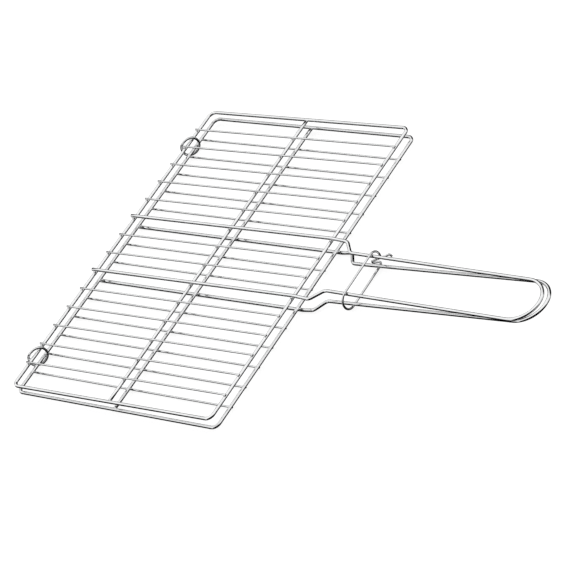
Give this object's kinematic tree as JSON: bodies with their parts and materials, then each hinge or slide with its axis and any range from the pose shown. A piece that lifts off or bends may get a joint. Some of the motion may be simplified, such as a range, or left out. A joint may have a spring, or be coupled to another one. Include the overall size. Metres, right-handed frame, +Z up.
{
  "type": "grill basket",
  "caption": "Hinged wire grill basket: two flat welded grids joined by loose rings, each with a long hairpin handle, held shut by a sliding wire lock ring.",
  "frame": {"origin": "middle of the bounding box, in the plane under the two lower handle legs that the basket rests on", "axes": "+X from the hinge side towards the handles, +Y along the hinge bars, +Z up from the lower grid to the upper grid"},
  "size_m": [0.5768, 0.4036, 0.0249],
  "materials": {
    "frame_chrome": "bright chrome plating on 3.6 mm steel wire",
    "cross_wire_chrome": "bright chrome plating on 2 mm steel wire",
    "ring_chrome": "bright chrome plating on 2.8 mm steel wire",
    "lock_chrome": "bright chrome plating on 2.3 mm steel wire"
  },
  "bodies": {
    "lower_grid": {"lower_frame": "frame_chrome", "lower_centre_bar": "frame_chrome", "lower_handle": "frame_chrome", "lower_cross_wire_01": "cross_wire_chrome", "lower_cross_wire_02": "cross_wire_chrome", "lower_cross_wire_03": "cross_wire_chrome", "lower_cross_wire_04": "cross_wire_chrome", "lower_cross_wire_05": "cross_wire_chrome", "lower_cross_wire_06": "cross_wire_chrome", "lower_cross_wire_07": "cross_wire_chrome", "lower_cross_wire_08": "cross_wire_chrome", "lower_cross_wire_09": "cross_wire_chrome", "lower_cross_wire_10": "cross_wire_chrome", "lower_cross_wire_11": "cross_wire_chrome", "lower_cross_wire_12": "cross_wire_chrome"},
    "upper_grid": {"upper_frame": "frame_chrome", "upper_centre_bar": "frame_chrome", "upper_handle": "frame_chrome", "upper_cross_wire_01": "cross_wire_chrome", "upper_cross_wire_02": "cross_wire_chrome", "upper_cross_wire_03": "cross_wire_chrome", "upper_cross_wire_04": "cross_wire_chrome", "upper_cross_wire_05": "cross_wire_chrome", "upper_cross_wire_06": "cross_wire_chrome", "upper_cross_wire_07": "cross_wire_chrome", "upper_cross_wire_08": "cross_wire_chrome", "upper_cross_wire_09": "cross_wire_chrome", "upper_cross_wire_10": "cross_wire_chrome", "upper_cross_wire_11": "cross_wire_chrome", "upper_cross_wire_12": "cross_wire_chrome"},
    "near_hinge_ring": {"hinge_ring_near": "ring_chrome"},
    "far_hinge_ring": {"hinge_ring_far": "ring_chrome"},
    "lock_ring": {"lock_ring": "lock_chrome"}
  },
  "joints": [
    {"name": "upper_grid_hinge", "type": "hinge", "parent": "lower_grid", "child": "upper_grid", "pos_m": [-0.28053, 0, 0.0157], "axis": [0, -1, 0], "range_deg": [0, 181]},
    {"name": "near_ring_turn", "type": "hinge", "parent": "lower_grid", "child": "near_hinge_ring", "pos_m": [-0.28053, -0.156, 0.0118], "axis": [0, 0, -1], "range_deg": [0, 60.5]},
    {"name": "far_ring_turn", "type": "hinge", "parent": "lower_grid", "child": "far_hinge_ring", "pos_m": [-0.28053, 0.1515, 0.0118], "axis": [0, 0, -1], "range_deg": [0, 60.5]},
    {"name": "lock_ring_slide", "type": "slide", "parent": "lower_grid", "child": "lock_ring", "axis": [1, 0.006, 0], "range_m": [0, 0.245]}
  ],
  "couplings": [
    {"joint": "near_ring_turn", "follows": "upper_grid_hinge", "ratio": 0.3333},
    {"joint": "far_ring_turn", "follows": "upper_grid_hinge", "ratio": 0.3333}
  ]
}
